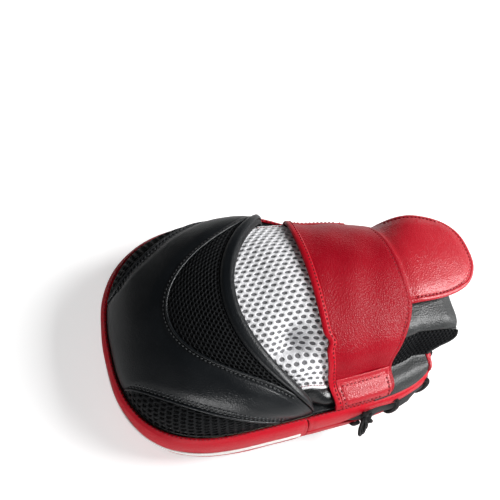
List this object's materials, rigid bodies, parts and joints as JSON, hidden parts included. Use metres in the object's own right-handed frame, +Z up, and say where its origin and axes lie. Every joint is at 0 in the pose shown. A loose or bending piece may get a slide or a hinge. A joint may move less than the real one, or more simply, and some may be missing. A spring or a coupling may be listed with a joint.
{
  "type": "focus mitt",
  "caption": "Curved padded boxing focus mitt with a hooded finger cover, mesh hand back, hand strap, laced wrist rim, padded wrist cuff and a lifting wrist flap.",
  "frame": {"origin": "middle of the bounding box in X and Y, at the level of the surface the mitt lies on", "axes": "+X from the fingertips towards the wrist, Y across the mitt, +Z up out of the back of the hand, with the striking face down"},
  "size_m": [0.3063, 0.1933, 0.0971],
  "materials": {
    "red_leather": "smooth grained red leather, satin",
    "black_leather": "grained black leather, satin",
    "white_leather": "white piping, satin",
    "foam": "soft open foam",
    "dense_foam": "dense closed foam",
    "black_lining": "matt woven lining",
    "black_mesh": "black air mesh",
    "white_mesh": "white open mesh",
    "lace": "waxed black lace",
    "hook_and_loop": "black hook and loop tape"
  },
  "bodies": {
    "mitt": {"front_cover": "black_leather", "face_foam": "foam", "core_foam": "dense_foam", "back_foam": "foam", "back_panel": "black_leather", "finger_rim": "red_leather", "wrist_rim_upper": "red_leather", "wrist_rim_lower": "red_leather", "rim_piping": "white_leather", "rim_lace": "lace", "hood_panel": "black_leather", "hood_lining": "black_lining", "hood_mesh_crescent": "black_mesh", "near_gusset": "black_mesh", "far_gusset": "black_mesh", "hood_binding": "black_leather", "hand_mesh": "white_mesh", "near_side_strip": "black_leather", "far_side_strip": "black_leather", "hand_strap": "red_leather", "strap_binding": "red_leather", "near_strap_tab": "red_leather", "far_strap_tab": "red_leather", "flap_seam_strip": "red_leather", "cuff_loop_patch": "hook_and_loop", "wrist_cushion": "black_leather", "near_cuff_panel": "black_leather", "far_cuff_panel": "black_leather", "cuff_mesh_band": "black_mesh", "near_cuff_binding": "red_leather", "far_cuff_binding": "red_leather", "palm_grip": "black_leather"},
    "flap": {"wrist_flap": "red_leather", "flap_lining": "black_lining", "flap_hook_patch": "hook_and_loop"}
  },
  "joints": [
    {"name": "flap_hinge", "type": "hinge", "parent": "mitt", "child": "flap", "pos_m": [0.0829, 0, 0.08467], "axis": [0, -1, 0], "range_deg": [0, 95]}
  ]
}
